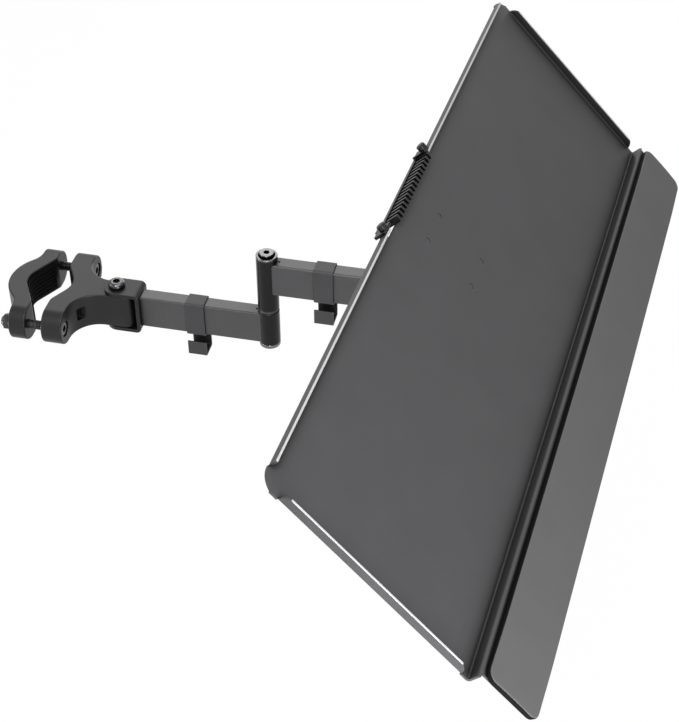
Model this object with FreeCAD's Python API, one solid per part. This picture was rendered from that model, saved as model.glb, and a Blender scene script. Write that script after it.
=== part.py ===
import FreeCAD, Part
import os
from math import atan2, cos, radians, sin, tan
from FreeCAD import Placement, Rotation, Vector

# Keyboard tray on a jointed arm that clamps to a round pole.
# All sizes are millimetres. The origin is on the pole's axis, level with the middle of the
# clamp and of the first arm. +Z runs up the pole, +X along the arms from the pole to the
# tray, and +Y to the tray's far end. The pose is the one in which the tray hangs tilted.

# Pole clamp
pole_diameter = 38.0
liner_thickness = 1.5
liner_height = 27.0
liner_end_radius = 0.5
liner_rib_count = 7
liner_groove_depth = 0.6
jaw_half_angle = 61.0
jaw_height = 33.6
jaw_edge_radius = 1.2
jaw_shoulder_radius = 8.0
bolt_spacing = 88.0
ear_tip_reach = 11.3
ear_corner_radius = 15.5
rear_ear_setback = 5.5
rear_ear_thickness = 15.5
rear_wall_thickness = 17.0
rear_back_half_angle = 45.0
rear_blend_radius = 18.0
front_ear_setback = 9.3
front_ear_thickness = 19.0
neck_width = 24.0
neck_blend_radius = 25.0
neck_end_reach = 17.0
neck_end_radius = 9.5
pocket_width = 7.0
pocket_from_neck = 8.5
pocket_corner_radius = 1.5
pocket_height = 13.0
pocket_floor_from_ear = 3.0
clamp_bolt_diameter = 8.0
clamp_bolt_hole_clearance = 0.3
clamp_head_diameter = 13.0
clamp_head_height = 8.0
clamp_key_width = 6.0
clamp_head_recess = 9.0
clamp_head_clearance = 0.8
clamp_washer_diameter = 15.0
clamp_washer_thickness = 1.6
clamp_nut_width = 13.0
clamp_nut_height = 6.8

# Clevis that carries the first arm on the front jaw
clevis_reach = 63.5
clevis_thickness = 3.3
clevis_web_reach = 23.2
clevis_end_reach = 11.0
clevis_bend_radius = 1.5
clevis_bolt_diameter = 8.0
clevis_bush_diameter = 12.0
clevis_washer_diameter = 20.0
clevis_washer_thickness = 0.5
clevis_head_diameter = 15.0
clevis_head_height = 5.5
clevis_head_dome = 3.3
clevis_key_width = 6.0
clevis_nut_width = 13.0
clevis_nut_height = 5.0

# Arms, both cut from the same rectangular tube
first_arm_length = 140.0
second_arm_length = 140.0
tube_height = 32.0
tube_width = 15.0
tube_wall = 1.8
tube_corner_radius = 2.0
tube_inner_radius = 0.4
drain_hole_diameter = 2.0
drain_hole_gap = 1.4

# Elbow between the two arms
elbow_diameter = 19.0
elbow_bore_diameter = 12.0
elbow_chamfer = 0.6
lower_barrel_below_tube = 1.0
lower_barrel_above_tube = 2.0
elbow_washer_thickness = 2.6
upper_barrel_height = 54.4
upper_barrel_above_tube = 4.5
elbow_bush_length = 12.0
elbow_ring_thickness = 1.6
elbow_bolt_diameter = 8.0
elbow_head_diameter = 12.6
elbow_head_height = 8.0
elbow_key_width = 5.0
elbow_head_stand = 2.6
elbow_head_gap = 1.1
elbow_nut_height = 4.0
elbow_nut_chamfer = 1.3
elbow_nut_spigot_length = 6.0
elbow_nut_floor = 1.5

# Swivel head at the end of the second arm
head_barrel_diameter = 24.0
head_bore_diameter = 14.0
head_bush_length = 11.0
head_washer_diameter = 24.0
head_washer_thickness = 1.2
head_stud_diameter = 10.0
head_nut_width = 17.0
head_nut_height = 9.0
head_nut_washer_diameter = 22.0
head_nut_washer_thickness = 2.0
knuckle_base_diameter = 28.0
knuckle_base_thickness = 4.0
knuckle_base_edge = 1.5
knuckle_stud_chamfer = 0.8
knuckle_neck_width = 16.0
knuckle_neck_length = 24.0
knuckle_neck_radius = 3.0
knuckle_barrel_diameter = 20.0
knuckle_barrel_length = 52.0
tilt_axis_rise = 30.0
tray_yaw = 4.55
tray_tilt = 45.6

# Tilt bracket under the tray
tilt_bolt_diameter = 10.0
tilt_bush_diameter = 14.0
tilt_bush_length = 14.0
tilt_washer_diameter = 20.0
tilt_washer_thickness = 1.5
tilt_head_diameter = 16.0
tilt_head_height = 6.0
tilt_key_width = 8.0
tilt_nut_width = 17.0
tilt_nut_height = 9.0
bracket_thickness = 3.0
bracket_bend_radius = 3.0
bracket_length = 76.0
bracket_ear_radius = 12.0
bracket_shoulder_radius = 4.0
bracket_screw_spacing_x = 54.0
bracket_screw_spacing_y = 36.0
screw_diameter = 5.0
screw_head_diameter = 9.5
screw_head_height = 2.8
screw_head_dome = 1.4
screw_key_width = 3.0
clinch_nut_diameter = 8.0
tilt_axis_from_back = 66.5
tilt_axis_below_tray = 30.0

# Tray, bent from one sheet
tray_length = 702.5
tray_depth = 212.0
tray_middle_offset = 1.25
sheet = 1.8
sheet_bend_radius = 1.2
lip_height = 9.6
lip_edge_radius = 0.45
lip_corner_radius = 9.0
lip_end_gap = 17.0
front_lip_end_gap = 9.0
floor_corner_radius = 16.0
step_height = 13.0
shelf_depth = 53.0
shelf_end_inset = 3.0
shelf_corner_radius = 9.0

# Notch in the back edge and the cable comb that fills it
notch_length = 116.0
notch_offset = 1.75
notch_depth = 7.0
slot_from_notch = 2.5
slot_clearance = 0.2
finger_count = 16
finger_pitch = 6.33
finger_thickness = 2.5
finger_depth = 5.9
finger_height = 10.2
finger_nose_radius = 0.8
first_finger_gap = 16.0
comb_bar_bottom = -5.7
comb_bar_height = 3.3
comb_bar_stand = 0.8
comb_lug_thickness = 2.4
comb_lug_bottom = -3.5
comb_lug_top = 8.5
near_lug_reach = 8.8
near_lug_foot = 6.0
far_lug_reach = 5.5
far_lug_foot = 2.7
comb_screw_diameter = 3.0
comb_knob_diameter = 8.0
comb_knob_height = 5.0
comb_knob_base_edge = 0.4
comb_knob_rim_edge = 1.2
comb_knob_flutes = 10
comb_knob_flute_diameter = 1.2
comb_nut_diameter = 4.4
comb_nut_height = 1.1

# Palm rest pad
pad_gap = 1.5
pad_overhang = 2.6
pad_height = 6.8
pad_cross_crown = 0.9
pad_end_crown = 1.2
pad_end_slope_length = 60.0
pad_edge_radius = 2.4
pad_corner_radius = 9.0
pad_side_draw = 0.7

# Cable clips
clip_width = 17.0
clip_band = 1.3
clip_corner_radius = 2.6
clip_from_elbow_first = 66.0
clip_from_elbow_second = 51.5
clip_wall = 1.8
clip_hook_radius = 1.0
clip_tip_radius = 0.7
clip_channel_depth = 22.5
clip_mouth = 7.5

# Fits and shares that every screw or nut follows
running_clearance = 0.05
loose_clearance = 0.25
thread_overhang = 1.0
screw_head_edge = 0.5
hex_key_depth_share = 0.5
nut_collar_height_share = 0.25
nut_collar_diameter_share = 0.92
nut_face_diameter_share = 1.08

# Places worked out from the sizes
pole_radius = pole_diameter / 2
seat_radius = pole_radius + liner_thickness
seat_angle = radians(jaw_half_angle)
bolt_y = bolt_spacing / 2
ear_tip_y = bolt_y + ear_tip_reach
elbow_x = clevis_reach + first_arm_length
head_x = elbow_x + second_arm_length
lower_barrel_bottom = -tube_height / 2 - lower_barrel_below_tube
lower_barrel_top = tube_height / 2 + lower_barrel_above_tube
upper_barrel_bottom = lower_barrel_top + elbow_washer_thickness
upper_barrel_top = upper_barrel_bottom + upper_barrel_height
second_arm_z = upper_barrel_top - upper_barrel_above_tube - tube_height / 2
elbow_ring_top = upper_barrel_top + elbow_ring_thickness
elbow_head_top = elbow_ring_top + elbow_head_stand
elbow_head_seat = elbow_head_top - elbow_head_height
head_barrel_top = second_arm_z + tube_height / 2
head_barrel_bottom = second_arm_z - tube_height / 2
knuckle_bottom = head_barrel_top + head_washer_thickness
tilt_axis_z = second_arm_z + tilt_axis_rise
clevis_inner = jaw_height / 2 + clevis_washer_thickness
clevis_outer = clevis_inner + clevis_thickness
web_x = clevis_reach + clevis_web_reach
bracket_inner = knuckle_barrel_length / 2 + tilt_washer_thickness
bracket_outer = bracket_inner + bracket_thickness
tray_end = tray_length / 2
shelf_front = tray_depth + shelf_depth
sheet_outer_bend = sheet + sheet_bend_radius
slot_z = sheet_outer_bend + comb_nut_diameter / 2 + loose_clearance
near_notch_y = notch_offset - notch_length / 2
far_notch_y = notch_offset + notch_length / 2
comb_screw_places = (near_notch_y - slot_from_notch, far_notch_y + slot_from_notch)
bracket_screw_places = [(tilt_axis_from_back + side_x * bracket_screw_spacing_x / 2,
                         side_y * bracket_screw_spacing_y / 2)
                        for side_x in (-1, 1) for side_y in (-1, 1)]

UP = Vector(0, 0, 1)
ALONG = Vector(1, 0, 0)
ACROSS = Vector(0, 1, 0)
PLANES = {"XY": 0, "YZ": 120, "ZX": 240}


def outline(corners):
    """Closed wire through (x, y, radius) corners, each rounded to its radius."""
    bends = []
    for index, (x, y, radius) in enumerate(corners):
        after_x, after_y, _ = corners[(index + 1) % len(corners)]
        here = Vector(x, y, 0)
        back = (Vector(corners[index - 1][0], corners[index - 1][1], 0) - here).normalize()
        ahead = (Vector(after_x, after_y, 0) - here).normalize()
        half_angle = back.getAngle(ahead) / 2
        reach = radius / tan(half_angle)
        towards_centre = (back + ahead).normalize()
        middle = here + towards_centre * (radius / sin(half_angle) - radius)
        bends.append((here + back * reach, middle, here + ahead * reach))
    edges = []
    for index, (start, middle, end) in enumerate(bends):
        last_end = bends[index - 1][2]
        if not last_end.isEqual(start, 1e-6):
            edges.append(Part.makeLine(last_end, start))
        if not start.isEqual(end, 1e-6):
            edges.append(Part.Arc(start, middle, end).toShape())
    return Part.Wire(edges)


def prism(corners, low, high, plane="XY"):
    """Outline pushed from low to high along the axis square to its plane."""
    solid = Part.Face(outline(corners)).extrude(UP * (high - low))
    solid.translate(UP * low)
    return solid.transformed(Placement(Vector(), Rotation(Vector(1, 1, 1), PLANES[plane])).Matrix)


def block(low, high):
    """Box between two opposite corners."""
    size = high - low
    return Part.makeBox(size.x, size.y, size.z, low)


def turned(profile):
    """Solid of revolution about Z from (radius, height, corner radius) points."""
    face = Part.Face(outline(profile))
    face = face.transformed(Placement(Vector(), Rotation(ALONG, 90)).Matrix)
    return face.revolve(Vector(), UP, 360)


def rod(diameter, length, base, axis=UP):
    return Part.makeCylinder(diameter / 2, length, base, axis)


def tube(outer_diameter, inner_diameter, length, base, axis=UP):
    return rod(outer_diameter, length, base, axis).cut(rod(inner_diameter, length, base, axis))


def hexagon(width, height):
    """Upright hexagonal prism on Z = 0, measured across its flats."""
    corner = width / 2 / cos(radians(30))
    turns = [radians(60 * step) for step in range(6)]
    return prism([(corner * cos(turn), corner * sin(turn), 0) for turn in turns], 0, height)


def aimed(shape, base, axis):
    """Shape that stands on Z = 0, moved to base with its Z along axis."""
    return shape.transformed(Placement(base, Rotation(UP, axis)).Matrix)


def cap_screw(shank_diameter, shank_length, head_diameter, head_height, key_width,
              edge=screw_head_edge):
    """Socket screw with its head above Z = 0 and its shank below; edge rounds the head's rim."""
    head_radius = head_diameter / 2
    head = turned([(0, 0, 0), (head_radius, 0, 0), (head_radius, head_height, edge), (0, head_height, 0)])
    key_depth = head_height * hex_key_depth_share
    key = hexagon(key_width, key_depth)
    key.translate(UP * (head_height - key_depth))
    return head.cut(key).fuse(rod(shank_diameter, shank_length, UP * -shank_length))


def lock_nut(width, height, bore_diameter):
    """Hexagon nut on Z = 0 with a round collar that holds its locking ring."""
    collar_height = height * nut_collar_height_share
    collar_radius = width * nut_collar_diameter_share / 2
    collar = turned([(0, 0, 0), (collar_radius, 0, 0), (collar_radius, height, collar_height),
                     (0, height, 0)])
    body_height = height - collar_height
    face_radius = width * nut_face_diameter_share / 2
    chamfer = Part.makeCone(face_radius, face_radius + body_height, body_height)
    body = hexagon(width, body_height).common(chamfer)
    return body.fuse(collar).cut(rod(bore_diameter, height, Vector()))


def mirrored(shape):
    """The shape's twin on the other side of the plane through the arms."""
    return shape.mirror(Vector(), ACROSS)


def both_sides(shape):
    return Part.makeCompound([shape, mirrored(shape)])


def seat_line(radius, y):
    """Distance from the pole's axis to a jaw's slanted seat wall at height y of the plan."""
    return radius / sin(seat_angle) - y / tan(seat_angle)


def jaw_casting(plan, ear_faces):
    """Jaw of the given plan with round ears and rounded rims; ear_faces are its ears' two X."""
    top = jaw_height / 2
    front_view = [(-ear_tip_y, -top, ear_corner_radius), (ear_tip_y, -top, ear_corner_radius),
                  (ear_tip_y, top, ear_corner_radius), (-ear_tip_y, top, ear_corner_radius)]
    low_x = min(x for x, _, _ in plan)
    high_x = max(x for x, _, _ in plan)
    jaw = prism(plan, -top, top).common(prism(front_view, low_x, high_x, "YZ"))
    ear_start = ear_tip_y - ear_corner_radius
    rims = []
    for edge in jaw.Edges:
        box = edge.BoundBox
        on_flat = box.ZLength < loose_clearance and abs(abs(box.Center.z) - top) < loose_clearance
        seam = box.YLength < loose_clearance and abs(box.Center.y) > ear_start - loose_clearance
        on_ear = box.XLength < loose_clearance and abs(box.Center.y) > ear_start and any(
            abs(box.Center.x - face) < loose_clearance for face in ear_faces)
        if on_ear or (on_flat and not seam):
            rims.append(edge)
    return jaw.makeFillet(jaw_edge_radius, rims)


def rear_jaw():
    inner = -rear_ear_setback
    outer = inner - rear_ear_thickness
    back_radius = seat_radius + rear_wall_thickness
    back_angle = radians(rear_back_half_angle)
    back_corner = back_radius / sin(back_angle)
    shoulder_y = (seat_radius / sin(seat_angle) + inner) * tan(seat_angle)
    blend_y = (back_corner + outer) * tan(back_angle)
    half = [(inner, shoulder_y, jaw_shoulder_radius), (inner, ear_tip_y, 0),
            (outer, ear_tip_y, 0), (outer, blend_y, rear_blend_radius)]
    plan = [(-seat_radius / sin(seat_angle), 0, seat_radius)] + half
    plan += [(-back_corner, 0, back_radius)] + [(x, -y, radius) for x, y, radius in reversed(half)]
    jaw = jaw_casting(plan, (inner, outer))
    hole = rod(clamp_bolt_diameter + 2 * clamp_bolt_hole_clearance, rear_ear_thickness,
               Vector(outer, bolt_y, 0), ALONG)
    washer_seat = rod(clamp_washer_diameter + 2 * clamp_head_clearance, rear_wall_thickness,
                      Vector(outer, bolt_y, 0), -ALONG)
    return jaw.cut(both_sides(hole)).cut(both_sides(washer_seat))


def front_jaw():
    inner = front_ear_setback
    outer = inner + front_ear_thickness
    shoulder_y = (seat_radius / sin(seat_angle) - inner) * tan(seat_angle)
    neck = neck_width / 2
    half = [(inner, shoulder_y, jaw_shoulder_radius), (inner, ear_tip_y, 0),
            (outer, ear_tip_y, 0), (outer, neck, neck_blend_radius),
            (clevis_reach + neck_end_reach, neck, neck_end_radius)]
    plan = [(seat_radius / sin(seat_angle), 0, seat_radius)] + half
    plan += [(x, -y, radius) for x, y, radius in reversed(half)]
    jaw = jaw_casting(plan, (inner, outer))
    shank = rod(clamp_bolt_diameter + 2 * clamp_bolt_hole_clearance, front_ear_thickness,
                Vector(inner, bolt_y, 0), ALONG)
    recess = rod(clamp_head_diameter + 2 * clamp_head_clearance, clamp_head_recess,
                 Vector(outer - clamp_head_recess, bolt_y, 0), ALONG)
    pocket_y = neck + pocket_from_neck
    pocket_wide, pocket_tall = pocket_width / 2, pocket_height / 2
    pocket = prism([(pocket_y - pocket_wide, -pocket_tall, pocket_corner_radius),
                    (pocket_y + pocket_wide, -pocket_tall, pocket_corner_radius),
                    (pocket_y + pocket_wide, pocket_tall, pocket_corner_radius),
                    (pocket_y - pocket_wide, pocket_tall, pocket_corner_radius)],
                   outer + pocket_floor_from_ear, clevis_reach, "YZ")
    pivot = rod(clevis_bush_diameter, jaw_height, Vector(clevis_reach, 0, -jaw_height / 2))
    return jaw.cut(both_sides(shank)).cut(both_sides(recess)).cut(both_sides(pocket)).cut(pivot)


def jaw_liner(side, ear_setback):
    """Grooved rubber strip in a jaw's seat; side is -1 for the rear jaw and 1 for the front."""
    edge_y = (seat_radius / sin(seat_angle) - ear_setback) * tan(seat_angle) - jaw_shoulder_radius / 2
    seat_x = seat_line(seat_radius, edge_y)
    grip_x = seat_line(pole_radius, edge_y)
    corners = [(seat_x, edge_y, 0), (seat_radius / sin(seat_angle), 0, seat_radius),
               (seat_x, -edge_y, 0), (grip_x, -edge_y, liner_end_radius),
               (pole_radius / sin(seat_angle), 0, pole_radius), (grip_x, edge_y, liner_end_radius)]
    plan = [(side * x, y, radius) for x, y, radius in corners]
    liner = prism(plan, -liner_height / 2, liner_height / 2)
    groove_face = pole_radius + liner_groove_depth
    groove_plan = [(0, edge_y, 0), (seat_line(groove_face, edge_y), edge_y, 0),
                   (groove_face / sin(seat_angle), 0, groove_face),
                   (seat_line(groove_face, edge_y), -edge_y, 0), (0, -edge_y, 0)]
    groove_plan = [(side * x, y, radius) for x, y, radius in groove_plan]
    rib_pitch = liner_height / liner_rib_count
    for index in range(1, liner_rib_count):
        height = -liner_height / 2 + index * rib_pitch
        liner = liner.cut(prism(groove_plan, height - liner_groove_depth, height + liner_groove_depth))
    return liner


def clamp_bolts():
    seat = front_ear_setback + front_ear_thickness - clamp_head_recess
    nut_stack = clamp_washer_thickness + clamp_nut_height + thread_overhang
    length = seat + rear_ear_setback + rear_ear_thickness + nut_stack
    bolt = cap_screw(clamp_bolt_diameter, length, clamp_head_diameter, clamp_head_height,
                     clamp_key_width)
    return both_sides(aimed(bolt, Vector(seat, bolt_y, 0), ALONG))


def clamp_washers():
    outer = -rear_ear_setback - rear_ear_thickness
    washer = tube(clamp_washer_diameter, clamp_bolt_diameter + 2 * clamp_bolt_hole_clearance,
                  clamp_washer_thickness, Vector(outer, bolt_y, 0), -ALONG)
    return both_sides(washer)


def clamp_nuts():
    outer = -rear_ear_setback - rear_ear_thickness - clamp_washer_thickness
    nut = lock_nut(clamp_nut_width, clamp_nut_height, clamp_bolt_diameter + 2 * running_clearance)
    return both_sides(aimed(nut, Vector(outer, bolt_y, 0), -ALONG))


def clevis_bracket():
    """Strap bent round the neck, with a round end about the pivot."""
    half_width = neck_width / 2
    left = clevis_reach - clevis_end_reach
    inside = web_x - clevis_thickness
    outer_bend = clevis_bend_radius + clevis_thickness
    strap = prism([(-clevis_outer, left, 0), (-clevis_outer, web_x, outer_bend),
                   (clevis_outer, web_x, outer_bend), (clevis_outer, left, 0),
                   (clevis_inner, left, 0), (clevis_inner, inside, clevis_bend_radius),
                   (-clevis_inner, inside, clevis_bend_radius), (-clevis_inner, left, 0)],
                  -half_width, half_width, "ZX")
    plan = prism([(left, -half_width, clevis_end_reach), (web_x, -half_width, 0), (web_x, half_width, 0),
                  (left, half_width, clevis_end_reach)], -clevis_outer, clevis_outer)
    hole = rod(clevis_bolt_diameter + 2 * running_clearance, 2 * clevis_outer,
               Vector(clevis_reach, 0, -clevis_outer))
    return strap.common(plan).cut(hole)


def clevis_bush():
    return tube(clevis_bush_diameter, clevis_bolt_diameter + 2 * running_clearance, jaw_height,
                Vector(clevis_reach, 0, -jaw_height / 2))


def clevis_washers():
    washer = tube(clevis_washer_diameter, clevis_bolt_diameter + 2 * running_clearance,
                  clevis_washer_thickness, Vector(clevis_reach, 0, jaw_height / 2))
    return Part.makeCompound([washer, washer.mirror(Vector(), UP)])


def clevis_bolt():
    length = 2 * clevis_outer + clevis_nut_height + thread_overhang
    bolt = cap_screw(clevis_bolt_diameter, length, clevis_head_diameter, clevis_head_height,
                     clevis_key_width, clevis_head_dome)
    return aimed(bolt, Vector(clevis_reach, 0, clevis_outer), UP)


def clevis_nut():
    nut = lock_nut(clevis_nut_width, clevis_nut_height, clevis_bolt_diameter + 2 * running_clearance)
    return aimed(nut, Vector(clevis_reach, 0, -clevis_outer), -UP)


def arm_tube(start, end, level, start_cut, end_cut):
    """Rectangular tube between start and end, coped to the barrels whose cuts are given."""
    def section(half_width, half_height, radius):
        return [(-half_width, level - half_height, radius), (half_width, level - half_height, radius),
                (half_width, level + half_height, radius), (-half_width, level + half_height, radius)]
    outside = prism(section(tube_width / 2, tube_height / 2, tube_corner_radius), start, end, "YZ")
    inside = prism(section(tube_width / 2 - tube_wall, tube_height / 2 - tube_wall,
                           tube_inner_radius), start, end, "YZ")
    arm = outside.cut(inside)
    for cut in (start_cut, end_cut):
        if cut:
            centre_x, diameter = cut
            arm = arm.cut(rod(diameter, tube_height, Vector(centre_x, 0, level - tube_height / 2)))
    return arm


def drain_hole(away, level):
    """Small hole in a tube's top wall beside the elbow barrel, on the side that away points to."""
    x = elbow_x + away * (elbow_diameter / 2 + drain_hole_gap)
    return rod(drain_hole_diameter, 2 * tube_wall, Vector(x, 0, level + tube_height / 2 - tube_wall))


def first_arm_tube():
    arm = arm_tube(web_x, elbow_x, 0, None, (elbow_x, elbow_diameter))
    return arm.cut(drain_hole(-1, 0))


def second_arm_tube():
    arm = arm_tube(elbow_x, head_x, second_arm_z, (elbow_x, elbow_diameter), (head_x, head_barrel_diameter))
    return arm.cut(drain_hole(1, second_arm_z))


def elbow_lower_barrel():
    radius, bore = elbow_diameter / 2, elbow_bore_diameter / 2
    barrel = turned([(bore, lower_barrel_bottom, 0), (radius, lower_barrel_bottom, 0),
                     (radius, lower_barrel_top, elbow_chamfer), (bore, lower_barrel_top, 0)])
    barrel.translate(ALONG * elbow_x)
    return barrel


def elbow_upper_barrel():
    radius, bore = elbow_diameter / 2, elbow_bore_diameter / 2
    recess = elbow_head_diameter / 2 + elbow_head_gap
    barrel = turned([(bore, upper_barrel_bottom, 0), (radius, upper_barrel_bottom, elbow_chamfer),
                     (radius, upper_barrel_top, 0), (recess, upper_barrel_top, 0),
                     (recess, elbow_head_seat, 0), (bore, elbow_head_seat, 0)])
    barrel.translate(ALONG * elbow_x)
    return barrel


def barrel_bushes(x, low, high, length, diameter, bore):
    """Pair of plain bushes pressed into the two ends of a barrel."""
    pair = [tube(diameter, bore, length, Vector(x, 0, base)) for base in (low, high - length)]
    return Part.makeCompound(pair)


def elbow_lower_bushes():
    return barrel_bushes(elbow_x, lower_barrel_bottom + elbow_nut_spigot_length, lower_barrel_top,
                         elbow_bush_length, elbow_bore_diameter, elbow_bolt_diameter + 2 * running_clearance)


def elbow_upper_bushes():
    return barrel_bushes(elbow_x, upper_barrel_bottom, elbow_head_seat, elbow_bush_length,
                         elbow_bore_diameter, elbow_bolt_diameter + 2 * running_clearance)


def elbow_thrust_washer():
    return tube(elbow_diameter - 2 * elbow_chamfer, elbow_bolt_diameter + 2 * running_clearance,
                elbow_washer_thickness, Vector(elbow_x, 0, lower_barrel_top))


def elbow_ring():
    radius = elbow_diameter / 2
    recess = elbow_head_diameter / 2 + elbow_head_gap
    ring = turned([(recess, upper_barrel_top, 0), (radius, upper_barrel_top, 0),
                   (radius, elbow_ring_top, elbow_chamfer), (recess, elbow_ring_top, 0)])
    ring.translate(ALONG * elbow_x)
    return ring


def elbow_bolt():
    length = elbow_head_seat - lower_barrel_bottom + elbow_nut_height - elbow_nut_floor
    bolt = cap_screw(elbow_bolt_diameter, length, elbow_head_diameter, elbow_head_height,
                     elbow_key_width)
    return aimed(bolt, Vector(elbow_x, 0, elbow_head_seat), UP)


def elbow_cap_nut():
    """Round nut that closes the elbow's lower end, with a spigot up the barrel."""
    radius = elbow_diameter / 2
    spigot = elbow_bore_diameter / 2 - loose_clearance
    bottom = lower_barrel_bottom - elbow_nut_height
    top = lower_barrel_bottom + elbow_nut_spigot_length - loose_clearance
    bore = elbow_bolt_diameter / 2 + running_clearance
    nut = turned([(0, bottom, 0), (radius, bottom, elbow_nut_chamfer), (radius, lower_barrel_bottom, 0),
                  (spigot, lower_barrel_bottom, 0), (spigot, top, 0), (bore, top, 0),
                  (bore, bottom + elbow_nut_floor, 0), (0, bottom + elbow_nut_floor, 0)])
    nut.translate(ALONG * elbow_x)
    return nut


def cable_clip(centre_x, level):
    """Plastic band snapped round a tube, with an open channel for cables below it."""
    inside_y = tube_width / 2
    inside_z = tube_height / 2
    band_y, band_z = inside_y + clip_band, inside_z + clip_band
    low_x, high_x = centre_x - clip_width / 2, centre_x + clip_width / 2

    def ring(half_y, half_z, radius):
        return [(-half_y, level - half_z, radius), (half_y, level - half_z, radius),
                (half_y, level + half_z, radius), (-half_y, level + half_z, radius)]
    band = prism(ring(band_y, band_z, clip_corner_radius), low_x, high_x, "YZ")
    floor = level - band_z - clip_channel_depth
    lip_top = level - band_z - clip_mouth
    wall = clip_wall
    hook = [(band_y, level - inside_z, 0), (band_y, floor, wall), (-band_y, floor, wall),
            (-band_y, lip_top, clip_tip_radius), (wall - band_y, lip_top, clip_tip_radius),
            (wall - band_y, floor + wall, clip_hook_radius),
            (band_y - wall, floor + wall, clip_hook_radius), (band_y - wall, level - inside_z, 0)]
    clip = band.fuse(prism(hook, low_x, high_x, "YZ"))
    tube_space = prism(ring(inside_y, inside_z, tube_corner_radius), low_x, high_x, "YZ")
    return clip.cut(tube_space).removeSplitter()


def head_barrel():
    radius, bore = head_barrel_diameter / 2, head_bore_diameter / 2
    barrel = turned([(bore, head_barrel_bottom, 0), (radius, head_barrel_bottom, elbow_chamfer),
                     (radius, head_barrel_top, elbow_chamfer), (bore, head_barrel_top, 0)])
    barrel.translate(ALONG * head_x)
    return barrel


def head_bushes():
    return barrel_bushes(head_x, head_barrel_bottom, head_barrel_top, head_bush_length,
                         head_bore_diameter, head_stud_diameter + 2 * running_clearance)


def head_thrust_washer():
    return tube(head_washer_diameter, head_stud_diameter + 2 * running_clearance,
                head_washer_thickness, Vector(head_x, 0, head_barrel_top))


def head_nut_washer():
    return tube(head_nut_washer_diameter, head_stud_diameter + 2 * running_clearance,
                head_nut_washer_thickness, Vector(head_x, 0, head_barrel_bottom), -UP)


def head_nut():
    nut = lock_nut(head_nut_width, head_nut_height, head_stud_diameter + 2 * running_clearance)
    return aimed(nut, Vector(head_x, 0, head_barrel_bottom - head_nut_washer_thickness), -UP)


def at_head(shape):
    """Shape built about the swivel with its tilt barrel along Y, turned to the tray's yaw."""
    return shape.transformed(Placement(ALONG * head_x, Rotation(UP, -tray_yaw)).Matrix)


def tilt_knuckle():
    """Casting with a stud down through the arm's barrel and a cross barrel for the tilt bolt."""
    stud_end = head_barrel_bottom - head_nut_washer_thickness - head_nut_height - thread_overhang
    base_top = knuckle_bottom + knuckle_base_thickness
    base_radius, stud_radius = knuckle_base_diameter / 2, head_stud_diameter / 2
    base = turned([(0, stud_end, 0), (stud_radius, stud_end, knuckle_stud_chamfer),
                   (stud_radius, knuckle_bottom, 0), (base_radius, knuckle_bottom, 0),
                   (base_radius, base_top, knuckle_base_edge), (0, base_top, 0)])
    long, wide = knuckle_neck_length / 2, knuckle_neck_width / 2
    neck = prism([(x, y, knuckle_neck_radius) for x, y in
                  ((-wide, -long), (wide, -long), (wide, long), (-wide, long))],
                 knuckle_bottom, tilt_axis_z)
    ends = Vector(0, -knuckle_barrel_length / 2, tilt_axis_z)
    barrel = rod(knuckle_barrel_diameter, knuckle_barrel_length, ends, ACROSS)
    bore = rod(tilt_bush_diameter, knuckle_barrel_length, ends, ACROSS)
    return at_head(base.fuse(neck).fuse(barrel).cut(bore).removeSplitter())


def tilt_bushes():
    length = tilt_bush_length
    bush = tube(tilt_bush_diameter, tilt_bolt_diameter + 2 * running_clearance, length,
                Vector(0, knuckle_barrel_length / 2 - length, tilt_axis_z), ACROSS)
    return at_head(both_sides(bush))


def tilt_washers():
    washer = tube(tilt_washer_diameter, tilt_bolt_diameter + 2 * running_clearance, tilt_washer_thickness,
                  Vector(0, knuckle_barrel_length / 2, tilt_axis_z), ACROSS)
    return at_head(both_sides(washer))


def on_bracket(shape):
    """Shape built flat, tray's back edge on X = 0 and its underside on Z = 0, set in the tray's pose."""
    shape = shape.transformed(
        Placement(Vector(-tilt_axis_from_back, 0, tilt_axis_below_tray), Rotation()).Matrix)
    shape = shape.transformed(Placement(Vector(), Rotation(ACROSS, tray_tilt)).Matrix)
    return at_head(shape.transformed(Placement(UP * tilt_axis_z, Rotation()).Matrix))


def on_tray(shape):
    """Shape built flat like the bracket's, but about the tray's own middle along Y."""
    return on_bracket(shape.transformed(Placement(ACROSS * tray_middle_offset, Rotation()).Matrix))


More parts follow.
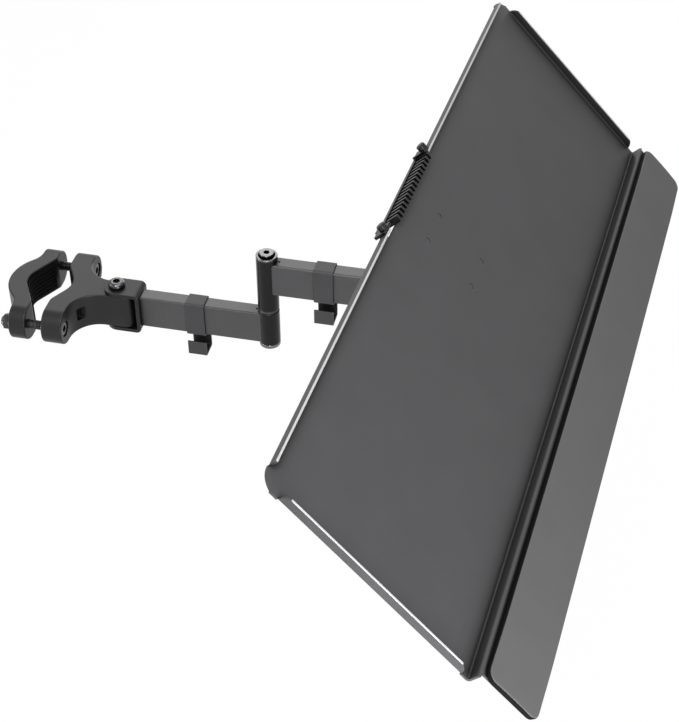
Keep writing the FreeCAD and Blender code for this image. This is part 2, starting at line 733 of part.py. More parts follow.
def tilt_bracket():
    """Channel bent from plate, with two round-ended ears for the tilt bolt."""
    bend = bracket_bend_radius
    ear_end = -tilt_axis_below_tray - bracket_ear_radius
    channel = prism([(-bracket_outer, ear_end, 0), (-bracket_outer, 0, bend + bracket_thickness),
                     (bracket_outer, 0, bend + bracket_thickness), (bracket_outer, ear_end, 0),
                     (bracket_inner, ear_end, 0), (bracket_inner, -bracket_thickness, bend),
                     (-bracket_inner, -bracket_thickness, bend), (-bracket_inner, ear_end, 0)],
                    0, tilt_axis_from_back + bracket_length, "YZ")
    low_x = tilt_axis_from_back - bracket_length / 2
    high_x = tilt_axis_from_back + bracket_length / 2
    shoulder = -bracket_thickness - bend
    side_view = prism([(0, low_x, 0), (0, high_x, 0), (shoulder, high_x, bracket_shoulder_radius),
                       (ear_end, tilt_axis_from_back + bracket_ear_radius, bracket_ear_radius),
                       (ear_end, tilt_axis_from_back - bracket_ear_radius, bracket_ear_radius),
                       (shoulder, low_x, bracket_shoulder_radius)], -bracket_outer, bracket_outer, "ZX")
    bracket = channel.common(side_view)
    bracket = bracket.cut(rod(tilt_bolt_diameter + 2 * running_clearance, 2 * bracket_outer,
                              Vector(tilt_axis_from_back, -bracket_outer, -tilt_axis_below_tray), ACROSS))
    for x, y in bracket_screw_places:
        bracket = bracket.cut(rod(screw_diameter + 2 * loose_clearance, bracket_thickness,
                                  Vector(x, y, -bracket_thickness)))
    return on_bracket(bracket)


def tilt_bolt():
    length = 2 * bracket_outer + tilt_nut_height + thread_overhang
    bolt = cap_screw(tilt_bolt_diameter, length, tilt_head_diameter, tilt_head_height, tilt_key_width)
    place = Vector(tilt_axis_from_back, -bracket_outer, -tilt_axis_below_tray)
    return on_bracket(aimed(bolt, place, -ACROSS))


def tilt_nut():
    nut = lock_nut(tilt_nut_width, tilt_nut_height, tilt_bolt_diameter + 2 * running_clearance)
    place = Vector(tilt_axis_from_back, bracket_outer, -tilt_axis_below_tray)
    return on_bracket(aimed(nut, place, ACROSS))


def bracket_screws():
    screws = []
    for x, y in bracket_screw_places:
        screw = cap_screw(screw_diameter, bracket_thickness + sheet - loose_clearance,
                          screw_head_diameter, screw_head_height, screw_key_width, screw_head_dome)
        screws.append(aimed(screw, Vector(x, y, -bracket_thickness), -UP))
    return on_bracket(Part.makeCompound(screws))


def clinch_nuts():
    """Round nuts pressed flush into the tray's floor."""
    nuts = [tube(clinch_nut_diameter, screw_diameter + 2 * running_clearance, sheet, Vector(x, y, 0))
            for x, y in bracket_screw_places]
    return on_bracket(Part.makeCompound(nuts))


def lip(length, corner_radius):
    """Upright lip along Y with its bend, outer face on X = 0; its free corners are rounded."""
    foot = lip_height
    wall = prism([(0, 0, sheet_outer_bend), (lip_height, 0, lip_edge_radius),
                  (lip_height, sheet, lip_edge_radius), (sheet, sheet, sheet_bend_radius),
                  (sheet, foot, 0), (0, foot, 0)],
                 -length / 2, length / 2, "ZX")
    end = length / 2
    face_view = prism([(-end, 0, 0), (end, 0, 0), (end, lip_height, corner_radius),
                       (-end, lip_height, corner_radius)], 0, foot, "YZ")
    return wall.common(face_view)


def folded_front():
    """Floor, step and shelf as one bent section, with the shelf's corners rounded."""
    back_inner = tray_depth - sheet
    shelf_under = step_height - sheet
    section = prism([(0, lip_height, 0), (0, tray_depth, sheet_outer_bend),
                     (shelf_under, tray_depth, sheet_bend_radius), (shelf_under, shelf_front, 0),
                     (step_height, shelf_front, 0), (step_height, back_inner, sheet_outer_bend),
                     (sheet, back_inner, sheet_bend_radius), (sheet, lip_height, 0)],
                    -tray_end, tray_end, "ZX")
    shelf_end = tray_end - shelf_end_inset
    floor_plan = prism([(lip_height, -tray_end, 0), (tray_depth, -tray_end, 0),
                        (tray_depth, tray_end, 0), (lip_height, tray_end, 0)], 0, step_height)
    shelf_plan = prism([(back_inner, -shelf_end, 0), (shelf_front, -shelf_end, shelf_corner_radius),
                        (shelf_front, shelf_end, shelf_corner_radius), (back_inner, shelf_end, 0)],
                       0, step_height)
    return section.common(floor_plan.fuse(shelf_plan))


def tray_pan():
    """One bent sheet: floor, back and side lips, and a step up to the shelf for the pad."""
    back_strip = prism([(0, -tray_end, floor_corner_radius), (2 * lip_height, -tray_end, 0),
                        (2 * lip_height, tray_end, 0), (0, tray_end, floor_corner_radius)], 0, sheet)
    pan = folded_front().fuse(back_strip)
    lip_end = tray_end - lip_end_gap
    lips = []
    for low_y, high_y in ((-lip_end, near_notch_y), (far_notch_y, lip_end)):
        pan = pan.cut(block(Vector(0, low_y, 0), Vector(lip_height, high_y, sheet)))
        back_lip = lip(high_y - low_y, sheet)
        back_lip.translate(ACROSS * ((low_y + high_y) / 2))
        lips.append(back_lip)
    side_length = tray_depth - lip_end_gap - front_lip_end_gap
    pan = pan.cut(both_sides(block(Vector(lip_end_gap, tray_end - lip_height, 0),
                                   Vector(lip_end_gap + side_length, tray_end, sheet))))
    side_lip = lip(side_length, lip_corner_radius)
    side_lip = side_lip.transformed(Placement(Vector(), Rotation(UP, -90)).Matrix)
    side_lip.translate(Vector(lip_end_gap + side_length / 2, tray_end, 0))
    for piece in lips + [side_lip, mirrored(side_lip)]:
        pan = pan.fuse(piece)
    pan = pan.removeSplitter()
    pan = pan.cut(block(Vector(0, near_notch_y, 0), Vector(notch_depth, far_notch_y, sheet)))
    slot_half = comb_screw_diameter / 2 + slot_clearance
    for notch_y, screw_y in zip((near_notch_y, far_notch_y), comb_screw_places):
        low_y, high_y = sorted((notch_y, screw_y))
        pan = pan.cut(block(Vector(0, low_y, slot_z - slot_half), Vector(sheet, high_y, slot_z + slot_half)))
        pan = pan.cut(rod(2 * slot_half, sheet, Vector(0, screw_y, slot_z), ALONG))
    for x, y in bracket_screw_places:
        pan = pan.cut(rod(clinch_nut_diameter, sheet, Vector(x, y - tray_middle_offset, 0)))
    return on_tray(pan)


def comb_lug(notch_y, outward, reach, foot):
    """Plate outside the lip's end with its foot on the bar; outward is -1 at the near end."""
    tip_y, foot_y = notch_y + outward * reach, notch_y - outward * foot
    return prism([(tip_y, comb_lug_bottom, finger_nose_radius), (notch_y, comb_lug_bottom, 0),
                  (notch_y, comb_bar_bottom, 0), (foot_y, comb_bar_bottom, 0),
                  (foot_y, comb_lug_top, finger_nose_radius), (tip_y, comb_lug_top, finger_nose_radius)],
                 -comb_lug_thickness, 0, "YZ")


def cable_comb():
    """Black strip with a bar below the floor, upright fingers in the notch and two lugs."""
    bar_top = comb_bar_bottom + comb_bar_height
    comb = block(Vector(-comb_bar_stand, near_notch_y, comb_bar_bottom),
                 Vector(finger_depth, far_notch_y, bar_top))
    finger_profile = [(comb_bar_bottom, 0, 0), (finger_height, 0, finger_nose_radius),
                      (finger_height, finger_depth, finger_nose_radius), (comb_bar_bottom, finger_depth, 0)]
    for index in range(finger_count):
        near = near_notch_y + first_finger_gap + index * finger_pitch
        comb = comb.fuse(prism(finger_profile, near, near + finger_thickness, "ZX"))
    comb = comb.fuse(comb_lug(near_notch_y, -1, near_lug_reach, near_lug_foot))
    comb = comb.fuse(comb_lug(far_notch_y, 1, far_lug_reach, far_lug_foot))
    for screw_y in comb_screw_places:
        comb = comb.cut(rod(comb_screw_diameter + 2 * running_clearance, comb_lug_thickness,
                            Vector(-comb_lug_thickness, screw_y, slot_z), ALONG))
    return on_tray(comb.removeSplitter())


def comb_screws():
    """Thumb screws with fluted round knobs, one through each lug and flush with its nut."""
    knob_radius = comb_knob_diameter / 2
    length = comb_lug_thickness + sheet + comb_nut_height
    knob = turned([(0, 0, 0), (knob_radius, 0, comb_knob_base_edge),
                   (knob_radius, comb_knob_height, comb_knob_rim_edge), (0, comb_knob_height, 0)])
    for index in range(comb_knob_flutes):
        turn = radians(360 / comb_knob_flutes * index)
        rim = Vector(cos(turn), sin(turn), 0) * (knob_radius + comb_knob_flute_diameter / 4)
        knob = knob.cut(rod(comb_knob_flute_diameter, comb_knob_height, rim))
    screw = knob.fuse(rod(comb_screw_diameter, length, UP * -length))
    screws = [aimed(screw, Vector(-comb_lug_thickness, y, slot_z), -ALONG) for y in comb_screw_places]
    return on_tray(Part.makeCompound(screws))


def comb_nuts():
    """Thin round nuts inside the lip, above its bend and clear of the flat floor."""
    nuts = [tube(comb_nut_diameter, comb_screw_diameter + 2 * running_clearance, comb_nut_height,
                 Vector(sheet, y, slot_z), ALONG) for y in comb_screw_places]
    return on_tray(Part.makeCompound(nuts))


def palm_rest_pad():
    """Soft pad with a crowned top, rounded edges, drawn-in sides and round corners in plan."""
    back = tray_depth + pad_gap
    front = shelf_front + pad_overhang
    half = (front - back) / 2
    top = step_height + pad_height
    side_top = top - pad_cross_crown
    slope_angle = atan2(2 * pad_cross_crown, half)
    crown_radius = (half - 2 * pad_edge_radius) / tan(slope_angle)
    draw = pad_side_draw
    cross = prism([(step_height, back + draw, 0), (side_top, back, pad_edge_radius),
                   (top + pad_cross_crown, back + half, crown_radius),
                   (side_top, front, pad_edge_radius), (step_height, front - draw, 0)],
                  -tray_end, tray_end, "ZX")
    plan = prism([(back, -tray_end, pad_corner_radius), (front, -tray_end, pad_corner_radius),
                  (front, tray_end, pad_corner_radius), (back, tray_end, pad_corner_radius)],
                 step_height, top)
    slope = pad_end_slope_length
    slope_radius = slope * slope / pad_end_crown / 2
    low = top - pad_end_crown
    lengthwise = prism([(draw - tray_end, step_height, 0), (tray_end - draw, step_height, 0),
                        (tray_end, low, pad_edge_radius), (tray_end - slope, top, slope_radius),
                        (slope - tray_end, top, slope_radius), (-tray_end, low, pad_edge_radius)],
                       back, front, "YZ")
    return on_tray(cross.common(plan).common(lengthwise))


os.makedirs("parts", exist_ok=True)
pieces = {
    "rear_jaw": rear_jaw(),
    "rear_jaw_liner": jaw_liner(-1, rear_ear_setback),
    "front_jaw": front_jaw(),
    "front_jaw_liner": jaw_liner(1, front_ear_setback),
    "clamp_bolts": clamp_bolts(),
    "clamp_washers": clamp_washers(),
    "clamp_nuts": clamp_nuts(),
    "clevis_bracket": clevis_bracket(),
    "clevis_bush": clevis_bush(),
    "clevis_washers": clevis_washers(),
    "clevis_bolt": clevis_bolt(),
    "clevis_nut": clevis_nut(),
    "first_arm_tube": first_arm_tube(),
    "cable_clip_1": cable_clip(elbow_x - clip_from_elbow_first, 0),
    "elbow_lower_barrel": elbow_lower_barrel(),
    "elbow_lower_bushes": elbow_lower_bushes(),
    "elbow_thrust_washer": elbow_thrust_washer(),
    "elbow_upper_barrel": elbow_upper_barrel(),
    "elbow_upper_bushes": elbow_upper_bushes(),
    "elbow_ring": elbow_ring(),
    "elbow_bolt": elbow_bolt(),
    "elbow_cap_nut": elbow_cap_nut(),
    "second_arm_tube": second_arm_tube(),
    "cable_clip_2": cable_clip(elbow_x + clip_from_elbow_second, second_arm_z),
    "head_barrel": head_barrel(),
    "head_bushes": head_bushes(),
    "head_thrust_washer": head_thrust_washer(),
    "head_nut_washer": head_nut_washer(),
    "head_nut": head_nut(),
    "tilt_knuckle": tilt_knuckle(),
    "tilt_bushes": tilt_bushes(),
    "tilt_washers": tilt_washers(),
    "tilt_bracket": tilt_bracket(),
    "tilt_bolt": tilt_bolt(),
    "tilt_nut": tilt_nut(),
    "bracket_screws": bracket_screws(),
    "clinch_nuts": clinch_nuts(),
    "tray_pan": tray_pan(),
    "cable_comb": cable_comb(),
    "comb_screws": comb_screws(),
    "comb_nuts": comb_nuts(),
    "palm_rest_pad": palm_rest_pad(),
}
for name, shape in pieces.items():
    shape.exportStep("parts/" + name + ".step")
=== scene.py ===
from math import cos, pi, radians, sin

import bmesh
import bpy
from mathutils import Matrix, Vector


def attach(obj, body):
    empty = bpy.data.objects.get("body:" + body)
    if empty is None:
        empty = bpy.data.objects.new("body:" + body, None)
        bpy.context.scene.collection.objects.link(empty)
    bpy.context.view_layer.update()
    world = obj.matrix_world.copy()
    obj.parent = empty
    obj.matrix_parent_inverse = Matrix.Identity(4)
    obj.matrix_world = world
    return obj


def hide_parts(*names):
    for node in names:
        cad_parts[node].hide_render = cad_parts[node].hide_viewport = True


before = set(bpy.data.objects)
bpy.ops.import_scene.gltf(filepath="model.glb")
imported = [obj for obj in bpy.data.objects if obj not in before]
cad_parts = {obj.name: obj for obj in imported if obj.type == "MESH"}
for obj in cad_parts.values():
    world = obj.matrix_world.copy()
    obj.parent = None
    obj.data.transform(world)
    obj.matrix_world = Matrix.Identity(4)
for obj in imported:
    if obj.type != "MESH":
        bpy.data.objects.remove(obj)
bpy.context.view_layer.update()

# The studio: a wide pale floor and backdrop far below the tray, which hangs on its arm with
# nothing under it, and the camera that looks down on it from the near side of the pole.
camera_data = bpy.data.cameras.new("studio_camera")
camera_data.sensor_width = 36.0
camera_data.lens = 80.87
camera_data.clip_start = 0.05
camera_data.clip_end = 60.0
camera = bpy.data.objects.new("studio_camera", camera_data)
bpy.context.scene.collection.objects.link(camera)
look = Vector((-0.1706, 0.7468, -0.6428)).normalized()
right = Vector((0.9749, 0.2227, 0.0))
right = (right - look * right.dot(look)).normalized()
down = look.cross(right)
roll = radians(0.45)
picture_right = right * cos(roll) + down * sin(roll)
picture_down = down * cos(roll) - right * sin(roll)
turn = Matrix((picture_right, -picture_down, -look)).transposed().to_4x4()
camera.matrix_world = Matrix.Translation((0.5137, -1.0806, 0.8990)) @ turn
bpy.context.scene.camera = camera
bpy.context.scene.view_settings.view_transform = "Standard"

floor_level = -0.62
floor_middle, floor_half_width = (0.3, 0.0, floor_level), 9.0
glow_share, shadow_white, bounce_grey = 0.97, 0.82, 0.34
ambient_strength = 0.15


def stage_surface(tree, colour):
    """Matt surface of an even grey."""
    matt = tree.nodes.new("ShaderNodeBsdfDiffuse")
    matt.inputs["Color"].default_value = (colour, colour, colour, 1)
    return matt.outputs[0]


def blended(tree, factor, first, second):
    """Mix of two surfaces by a fixed share or by a ray's kind."""
    mix = tree.nodes.new("ShaderNodeMixShader")
    if isinstance(factor, float):
        mix.inputs[0].default_value = factor
    else:
        tree.links.new(factor, mix.inputs[0])
    tree.links.new(first, mix.inputs[1])
    tree.links.new(second, mix.inputs[2])
    return mix.outputs[0]


def shows_white(tree):
    """1 for a ray from the camera, off a shiny surface or through glass, and 0 for stray light."""
    path = tree.nodes.new("ShaderNodeLightPath")
    share = path.outputs["Is Camera Ray"]
    for kind in ("Is Glossy Ray", "Is Transmission Ray"):
        either = tree.nodes.new("ShaderNodeMath")
        either.operation = "MAXIMUM"
        tree.links.new(share, either.inputs[0])
        tree.links.new(path.outputs[kind], either.inputs[1])
        share = either.outputs[0]
    return share


def studio_white(name):
    """White to the camera and in reflections, apart from its shadows. It throws a soft grey light
    up at the object."""
    white = bpy.data.materials.new(name)
    white.use_nodes = True
    tree = white.node_tree
    tree.nodes.clear()
    glow = tree.nodes.new("ShaderNodeEmission")
    glow.inputs["Color"].default_value = (1, 1, 1, 1)
    glow.inputs["Strength"].default_value = 1.0
    pale = stage_surface(tree, shadow_white)
    bounced = stage_surface(tree, bounce_grey)
    seen = blended(tree, glow_share, pale, glow.outputs[0])
    out = tree.nodes.new("ShaderNodeOutputMaterial")
    tree.links.new(blended(tree, shows_white(tree), bounced, seen), out.inputs["Surface"])
    return white


floor_mesh = bpy.data.meshes.new("studio_floor")
ground = bmesh.new()
bmesh.ops.create_grid(ground, x_segments=1, y_segments=1, size=floor_half_width)
bmesh.ops.translate(ground, vec=floor_middle, verts=ground.verts)
ground.to_mesh(floor_mesh)
ground.free()
floor = bpy.data.objects.new("studio_floor", floor_mesh)
bpy.context.scene.collection.objects.link(floor)
floor_mesh.materials.append(studio_white("studio_floor_white"))

world = bpy.data.worlds.new("studio_world")
bpy.context.scene.world = world
world.use_nodes = True
sky = world.node_tree
sky.nodes.clear()
ambient = sky.nodes.new("ShaderNodeBackground")
ambient.inputs["Color"].default_value = (1.0, 1.0, 1.0, 1)
ambient.inputs["Strength"].default_value = ambient_strength
backdrop = sky.nodes.new("ShaderNodeBackground")
backdrop.inputs["Color"].default_value = (1.0, 1.0, 1.0, 1)
backdrop.inputs["Strength"].default_value = 1.0
sky_out = sky.nodes.new("ShaderNodeOutputWorld")
sky.links.new(blended(sky, shows_white(sky), ambient.outputs[0], backdrop.outputs[0]),
              sky_out.inputs["Surface"])

softboxes = (
    ("back_softbox", (-0.35, 2.30, 2.00), (0.15, 0.00, 0.05), 2.6, 1.3, 32.0),
    ("overhead_softbox", (0.60, -0.15, 1.90), (0.35, 0.00, 0.05), 1.3, 1.0, 16.0),
    ("left_softbox", (-1.60, -0.45, 0.75), (0.15, 0.00, 0.00), 0.8, 0.9, 7.0),
    ("front_softbox", (0.20, -1.30, 1.75), (0.20, 0.00, 0.00), 0.8, 0.6, 30.0),
    ("under_softbox", (-1.30, -0.60, -0.42), (0.30, 0.00, 0.05), 1.0, 0.3, 17.0),
    ("behind_softbox", (0.35, 2.10, 0.10), (0.30, 0.00, 0.05), 1.4, 0.6, 12.0),
    ("near_end_lamp", (0.95, -0.80, 0.35), (0.44, -0.34, 0.06), 0.5, 0.4, 7.0),
    ("near_lip_lamp", (0.47, -0.68, -0.08), (0.44, -0.36, 0.06), 0.4, 0.2, 3.2),
)
for name, place, target, width, height, power in softboxes:
    lamp = bpy.data.lights.new(name, "AREA")
    lamp.shape = "RECTANGLE"
    lamp.size = width
    lamp.size_y = height
    lamp.energy = power
    softbox = bpy.data.objects.new(name, lamp)
    bpy.context.scene.collection.objects.link(softbox)
    softbox.visible_camera = False
    softbox.location = place
    aim = Vector(target) - Vector(place)
    softbox.rotation_mode = "QUATERNION"
    softbox.rotation_quaternion = aim.to_track_quat("-Z", "Y")

# The two clamp jaws, the tilt knuckle and the clevis strap: castings with a sandy skin, and a bent
# strap, all in semi-gloss black, with edges paler from wear and a painted highlight, and painted
# shade in their inner corners.
mottle_mm = 38.0
# Where the paler edges, partly wear and partly a painted highlight, start and are full.
wear_sheen_from, wear_sheen_to = 0.80, 0.97
# Painted shade: how far ambient occlusion reaches, where the darkening starts and is full, and its
# near-black colour.
corner_reach, corner_shade_from, corner_shade_to = 0.022, 0.55, 0.92
corner_shade_black = (0.001, 0.001, 0.001)
speck_from, speck_to, speck_share, speck_tone = 0.55, 0.75, 0.35, 1.55


def coated(name, colour, gloss, grain_mm, grain_depth_mm, mottle=0.10, wear_and_sheen=0.10, edge_mm=0.5,
           edge_wear_sheen_tone=3.5, metal=0.0, shine=0.5, corner_shade=0.85):
    """A finish with mottled colour, fine grain in its gloss and surface, edges paler from wear
    and a painted highlight, and painted shade darkening its inner corners."""
    finish = bpy.data.materials.new(name)
    finish.use_nodes = True
    tree = finish.node_tree
    shader = tree.nodes["Principled BSDF"]
    shader.inputs["Metallic"].default_value = metal
    shader.inputs["Specular IOR Level"].default_value = shine
    place = tree.nodes.new("ShaderNodeTexCoord")

    def speckle(size_mm, detail):
        noise = tree.nodes.new("ShaderNodeTexNoise")
        noise.inputs["Scale"].default_value = 1000.0 / size_mm
        noise.inputs["Detail"].default_value = detail
        tree.links.new(place.outputs["Object"], noise.inputs["Vector"])
        return noise.outputs["Fac"]

    def spread(value, low, high, from_low=0.3, from_high=0.7):
        remap = tree.nodes.new("ShaderNodeMapRange")
        remap.inputs["From Min"].default_value = from_low
        remap.inputs["From Max"].default_value = from_high
        remap.inputs["To Min"].default_value = low
        remap.inputs["To Max"].default_value = high
        tree.links.new(value, remap.inputs["Value"])
        return remap.outputs[0]

    def blend_colour(factor, first, second):
        mix = tree.nodes.new("ShaderNodeMix")
        mix.data_type = "RGBA"
        tree.links.new(factor, mix.inputs[0])
        for socket, shade in ((mix.inputs[6], first), (mix.inputs[7], second)):
            if isinstance(shade, tuple):
                socket.default_value = shade + (1,)
            else:
                tree.links.new(shade, socket)
        return mix.outputs[2]

    def tone(factor):
        return tuple(min(1.0, part * factor) for part in colour)

    broad = speckle(mottle_mm, 3.0)
    grain = speckle(grain_mm, 2.0)
    mottled = blend_colour(spread(broad, 0.0, 1.0), tone(1.0 - mottle), tone(1.0 + mottle))
    specks = spread(grain, 0.0, speck_share, speck_from, speck_to)
    specked = blend_colour(specks, mottled, tone(speck_tone))
    # Edges paler towards a brighter tone of the colour: partly wear, partly a painted highlight.
    rounded = tree.nodes.new("ShaderNodeBevel")
    rounded.samples = 6
    rounded.inputs["Radius"].default_value = edge_mm / 1000.0
    flat = tree.nodes.new("ShaderNodeNewGeometry")
    bend = tree.nodes.new("ShaderNodeVectorMath")
    bend.operation = "DOT_PRODUCT"
    tree.links.new(rounded.outputs[0], bend.inputs[0])
    tree.links.new(flat.outputs["Normal"], bend.inputs[1])
    edge = spread(bend.outputs["Value"], wear_and_sheen, 0.0, wear_sheen_from, wear_sheen_to)
    coat = blend_colour(edge, specked, tone(edge_wear_sheen_tone))
    # Painted shade: the colour goes towards black where other surfaces lie close, in corners,
    # recesses and between parts.
    corner = tree.nodes.new("ShaderNodeAmbientOcclusion")
    corner.samples = 8
    corner.inputs["Distance"].default_value = corner_reach
    painted_shade = spread(corner.outputs["AO"], corner_shade, 0.0, corner_shade_from, corner_shade_to)
    tree.links.new(blend_colour(painted_shade, coat, corner_shade_black), shader.inputs["Base Color"])
    tree.links.new(spread(grain, gloss[0], gloss[1]), shader.inputs["Roughness"])
    bump = tree.nodes.new("ShaderNodeBump")
    bump.inputs["Strength"].default_value = 1.0
    bump.inputs["Distance"].default_value = grain_depth_mm / 1000.0
    tree.links.new(grain, bump.inputs["Height"])
    tree.links.new(rounded.outputs[0], bump.inputs["Normal"])
    tree.links.new(bump.outputs[0], shader.inputs["Normal"])
    return finish


def dress(material, *nodes):
    """The finish goes on those CAD pieces."""
    for node in nodes:
        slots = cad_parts[node].material_slots
        if slots:
            for slot in slots:
                slot.material = material
        else:
            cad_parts[node].data.materials.append(material)


cast_coat = coated("cast_coat", (0.013, 0.013, 0.014), (0.31, 0.39), 0.55, 0.025, wear_and_sheen=0.5,
                   edge_wear_sheen_tone=8.0, shine=0.2)
dress(cast_coat, "rear_jaw", "front_jaw", "tilt_knuckle", "clevis_bracket")

# The ribbed strips in the jaws' seats: black rubber with a dusty bloom, pressed into the
# castings so that they grip the pole.
liner_rubber = coated("liner_rubber", (0.004, 0.004, 0.004), (0.60, 0.75), 0.35, 0.03, wear_and_sheen=0.3,
                      shine=0.05)
dress(liner_rubber, "rear_jaw_liner", "front_jaw_liner")

# The blackened bolts, washers and nuts of the clamp, the clevis and the head: oiled black
# oxide over turned steel, paler along its corners from wear and a painted highlight.
black_steel = coated("black_steel", (0.07, 0.07, 0.074), (0.16, 0.24), 0.9, 0.003, wear_and_sheen=0.8,
                     edge_mm=0.3, edge_wear_sheen_tone=6.0, metal=0.9)
dress(black_steel, "clamp_bolts", "clamp_washers", "clamp_nuts", "clevis_bolt", "clevis_nut",
      "head_nut", "head_nut_washer", "tilt_bolt", "tilt_nut", "bracket_screws")


def cut_thread(name, bolt_y):
    """Rolled thread on the bare length of a clamp bolt, which lies along X at bolt_y."""
    root_radius, crest_radius, pitch = 0.00398, 0.00424, 0.00125
    start_x, end_x, steps = -0.0158, 0.0116, 20
    root_share, crest_share = 0.92, 0.15
    turns = int((end_x - start_x) / pitch)
    ridge = bmesh.new()
    half = pitch / 2
    profile = [ridge.verts.new((start_x + shift, bolt_y, radius)) for shift, radius in
               ((-half * root_share, root_radius), (-half * crest_share, crest_radius),
                (half * crest_share, crest_radius), (half * root_share, root_radius))]
    face = ridge.faces.new(profile)
    bmesh.ops.spin(ridge, geom=[face] + list(face.edges) + list(face.verts), cent=(0, bolt_y, 0),
                   axis=(1, 0, 0), dvec=(pitch / steps, 0, 0), angle=2 * pi * turns,
                   steps=steps * turns, use_merge=False, use_duplicate=False)
    bmesh.ops.recalc_face_normals(ridge, faces=ridge.faces)
    mesh = bpy.data.meshes.new(name)
    ridge.to_mesh(mesh)
    ridge.free()
    mesh.materials.append(black_steel)
    piece = bpy.data.objects.new(name, mesh)
    bpy.context.scene.collection.objects.link(piece)
    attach(piece, "front_jaw_body")


cut_thread("near_bolt_thread", -0.044)
cut_thread("far_bolt_thread", 0.044)

# The two rectangular tubes: drawn steel in smooth dark grey powder coat. The barrels welded to
# their ends at the elbow and the head are turned, and have a glossier black coat.
arm_coat = coated("arm_coat", (0.047, 0.047, 0.049), (0.27, 0.34), 0.8, 0.006, mottle=0.05,
                  shine=0.32)
dress(arm_coat, "first_arm_tube", "second_arm_tube")
barrel_coat = coated("barrel_coat", (0.007, 0.007, 0.008), (0.18, 0.23), 1.2, 0.002, mottle=0.04,
                     wear_and_sheen=0.6, edge_wear_sheen_tone=9.0, shine=0.16)
dress(barrel_coat, "elbow_lower_barrel", "elbow_upper_barrel", "head_barrel")

# The round nut that closes the elbow's lower end: turned steel with a dark bright plating,
# screwed on the elbow's bolt from below.
black_chrome = coated("black_chrome", (0.16, 0.16, 0.165), (0.12, 0.16), 1.2, 0.001, mottle=0.03,
                      wear_and_sheen=0.8, edge_wear_sheen_tone=4.0, metal=1.0)
dress(black_chrome, "elbow_cap_nut")

# The ring and socket bolt on top of the elbow and the nuts inside the lip: bright zinc plate
# over turned steel.
zinc = coated("zinc", (0.12, 0.12, 0.123), (0.17, 0.20), 6.0, 0.0, mottle=0.04, wear_and_sheen=0.6,
              edge_mm=0.3, metal=1.0)
dress(zinc, "elbow_ring", "elbow_bolt", "comb_nuts")

# The plain bushes and the thin washers of all the pivots: moulded bearing plastic. The bushes
# sit in their bores, and the washers lie between the faces that turn.
bearing_black = coated("bearing_black", (0.02, 0.02, 0.02), (0.35, 0.5), 0.6, 0.01)
dress(bearing_black, "clevis_bush", "clevis_washers", "elbow_lower_bushes", "elbow_upper_bushes",
      "head_bushes", "tilt_bushes", "elbow_thrust_washer")
bearing_grey = coated("bearing_grey", (0.10, 0.10, 0.104), (0.35, 0.5), 0.6, 0.01)
dress(bearing_grey, "head_thrust_washer", "tilt_washers")

# The two cable clips: bands of black moulded plastic snapped round the tubes, each with an open
# hook below that holds the cables.
clip_plastic = coated("clip_plastic", (0.034, 0.034, 0.036), (0.42, 0.50), 0.45, 0.010,
                      shine=0.25)
dress(clip_plastic, "cable_clip_1", "cable_clip_2")

# The tray, the bracket under it and the nuts pressed into its floor: sheet steel, bent and
# sprayed with matt powder coat.
tray_coat = coated("tray_coat", (0.053, 0.053, 0.055), (0.40, 0.50), 0.6, 0.015, mottle=0.04,
                   shine=0.10)
tilt_pivot, pivot_in_tray = (0.3435, 0, 0.0845), (-0.0665, 0.00125, 0.030)
tray_skew, tray_lean = radians(-4.55), radians(45.6)
tray_hang = (Matrix.Translation(tilt_pivot) @ Matrix.Rotation(tray_skew, 4, "Z")
             @ Matrix.Rotation(tray_lean, 4, "Y") @ Matrix.Translation(pivot_in_tray))
tray_corner = tray_hang @ Vector((0, 0, 0))
tray_up = tray_hang.to_3x3() @ Vector((0, 0, 1))
tray_front = tray_hang.to_3x3() @ Vector((1, 0, 0))
# Painted highlight: the pale grey painted along the tray lips' top edges.
lip_highlight_grey = 0.42
# Each band is a direction on the tray, with where it starts along that direction from the
# tray's back corner and where it is full: the lips' tops, no higher, and not the shelf.
lip_highlight_bands = ((tray_up, 0.0090, 0.0093), (-tray_up, -0.0099, -0.0097),
              (-tray_front, -0.205, -0.203))


def paint_lip_highlights(finish):
    """Painted highlight: the lips' top edges are painted pale grey, as if they caught the light."""
    tree = finish.node_tree
    shader = tree.nodes["Principled BSDF"]
    place = tree.nodes.new("ShaderNodeTexCoord")
    coat = shader.inputs["Base Color"].links[0].from_socket
    masks = []
    for direction, low, high in lip_highlight_bands:
        along = tree.nodes.new("ShaderNodeVectorMath")
        along.operation = "DOT_PRODUCT"
        along.inputs[1].default_value = direction
        tree.links.new(place.outputs["Object"], along.inputs[0])
        start = direction.dot(tray_corner)
        band = tree.nodes.new("ShaderNodeMapRange")
        band.inputs["From Min"].default_value = start + low
        band.inputs["From Max"].default_value = start + high
        tree.links.new(along.outputs["Value"], band.inputs["Value"])
        masks.append(band.outputs[0])
    share = masks[0]
    for mask in masks[1:]:
        both = tree.nodes.new("ShaderNodeMath")
        both.operation = "MULTIPLY"
        tree.links.new(share, both.inputs[0])
        tree.links.new(mask, both.inputs[1])
        share = both.outputs[0]
    edge = tree.nodes.new("ShaderNodeMix")
    edge.data_type = "RGBA"
    tree.links.new(share, edge.inputs[0])
    tree.links.new(coat, edge.inputs[6])
    edge.inputs[7].default_value = (lip_highlight_grey, lip_highlight_grey, lip_highlight_grey, 1)
    tree.links.new(edge.outputs[2], shader.inputs["Base Color"])


paint_lip_highlights(tray_coat)
dress(tray_coat, "tray_pan", "tilt_bracket", "clinch_nuts")

# The comb in the notch of the back lip, which parts the cables, and its two thumb screws: black
# moulded plastic, held by the screws through its lugs.
# Its edges carry a strong painted highlight along with wear, and its corners full painted shade.
comb_plastic = coated("comb_plastic", (0.010, 0.010, 0.010), (0.24, 0.32), 0.5, 0.004, wear_and_sheen=0.7,
                      edge_mm=0.3, edge_wear_sheen_tone=9.0, shine=0.15, corner_shade=1.0)
dress(comb_plastic, "cable_comb", "comb_screws")

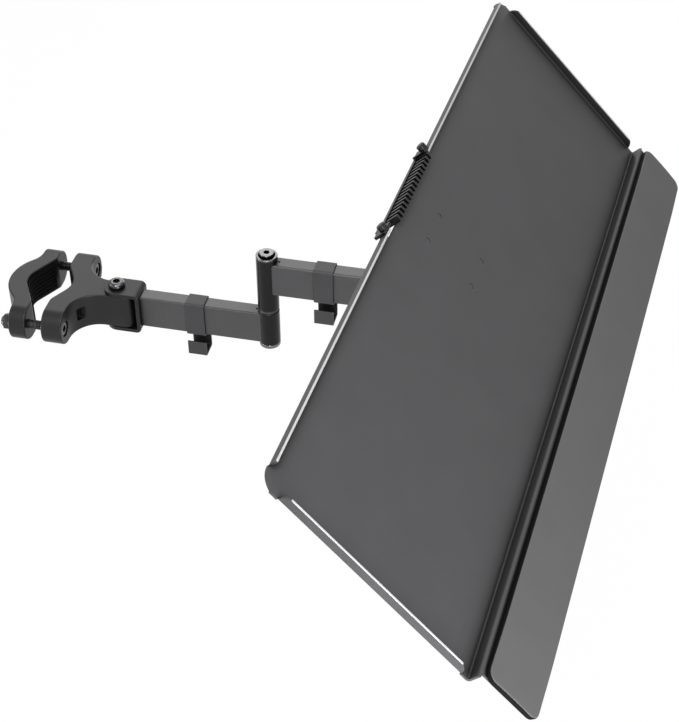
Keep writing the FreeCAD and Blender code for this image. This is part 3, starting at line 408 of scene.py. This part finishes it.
# The palm rest pad: one strip of firm black foam with round ends, pressed to a low crown. A
# grey grained skin is laminated over its top and ends in a seam round the sides, and the whole
# strip is glued to the tray's raised shelf.
pad_length, pad_width, pad_corner = 0.7025, 0.0541, 0.0090
pad_bottom, pad_top, pad_back = 0.0130, 0.0198, 0.2135
pad_crown, pad_end_drop, pad_end_slope = 0.0009, 0.0012, 0.060
pad_edge, pad_foot_edge, pad_draw = 0.0022, 0.0006, 0.0007
seam_drop, seam_half, seam_pinch = 0.0007, 0.00022, 0.00035
rows_across, rows_along = 12, 70
pad_skin = coated("pad_skin", (0.082, 0.082, 0.084), (0.50, 0.60), 0.7, 0.02, mottle=0.03, wear_and_sheen=0.0,
                  shine=0.15)
pad_foam = coated("pad_foam", (0.005, 0.005, 0.005), (0.70, 0.85), 0.45, 0.06, mottle=0.08,
                  wear_and_sheen=0.0, shine=0.05)

pad = bmesh.new()
bmesh.ops.create_cube(pad, size=1.0)
pad_high = pad_top - pad_bottom - pad_crown
bmesh.ops.scale(pad, vec=(pad_width, pad_length, pad_high), verts=pad.verts)
bmesh.ops.translate(pad, vec=(0, 0, pad_high / 2), verts=pad.verts)
upright = [edge for edge in pad.edges
           if abs(edge.verts[0].co.z - edge.verts[1].co.z) > pad_high / 2]
bmesh.ops.bevel(pad, geom=upright, offset=pad_corner, segments=10, profile=0.5, affect="EDGES",
                material=-1)


def rim(strip, level):
    """Edges of the strip's outline at that height."""
    return [edge for edge in strip.edges if len(edge.link_faces) == 2
            and all(abs(vert.co.z - level) < 1e-6 for vert in edge.verts)]


bmesh.ops.bevel(pad, geom=rim(pad, pad_high), offset=pad_edge, segments=6, profile=0.5,
                affect="EDGES", material=-1)
bmesh.ops.bevel(pad, geom=rim(pad, 0.0), offset=pad_foot_edge, segments=2, profile=0.5,
                affect="EDGES", material=-1)


def slice_at(strip, place, normal):
    """A row of points where the plane through place crosses the strip."""
    bmesh.ops.bisect_plane(strip, geom=list(strip.verts) + list(strip.edges) + list(strip.faces),
                           plane_co=place, plane_no=normal, dist=1e-6)


seam = pad_high - seam_drop
for height in (seam - seam_half, seam, seam + seam_half):
    slice_at(pad, (0, 0, height), (0, 0, 1))
for step in range(1, rows_across):
    slice_at(pad, (pad_width * (step / rows_across - 0.5), 0, 0), (1, 0, 0))
for step in range(1, rows_along):
    slice_at(pad, (0, pad_length * (step / rows_along - 0.5), 0), (0, 1, 0))
for face in pad.faces:
    face.smooth = True
    face.material_index = 0 if face.calc_center_median().z > seam else 1
core_x, core_y = pad_width / 2 - pad_corner, pad_length / 2 - pad_corner
for vert in pad.verts:
    core = Vector((max(-core_x, min(core_x, vert.co.x)), max(-core_y, min(core_y, vert.co.y)),
                   vert.co.z))
    outward = vert.co - core
    rise = vert.co.z / pad_high
    if outward.length > 0.8 * pad_corner:
        pull = pad_draw * max(0.0, 1.0 - rise)
        if abs(vert.co.z - seam) < 1e-5:
            pull += seam_pinch
        vert.co -= outward.normalized() * pull
    across = vert.co.x / (pad_width / 2)
    along = max(0.0, 1.0 - (pad_length / 2 - abs(vert.co.y)) / pad_end_slope)
    swell = pad_crown * (1.0 - across * across) - pad_end_drop * along * along * (3.0 - 2.0 * along)
    vert.co.z += swell * rise
bmesh.ops.recalc_face_normals(pad, faces=pad.faces)
bmesh.ops.translate(pad, vec=(pad_back + pad_width / 2, 0, pad_bottom), verts=pad.verts)
bmesh.ops.transform(pad, matrix=tray_hang, verts=pad.verts)
pad_mesh = bpy.data.meshes.new("palm_pad")
pad.to_mesh(pad_mesh)
pad.free()
pad_mesh.materials.append(pad_skin)
pad_mesh.materials.append(pad_foam)
palm_pad = bpy.data.objects.new("palm_pad", pad_mesh)
bpy.context.scene.collection.objects.link(palm_pad)
dress(pad_skin, "palm_rest_pad")
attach(palm_pad, "tray")
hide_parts("palm_rest_pad")
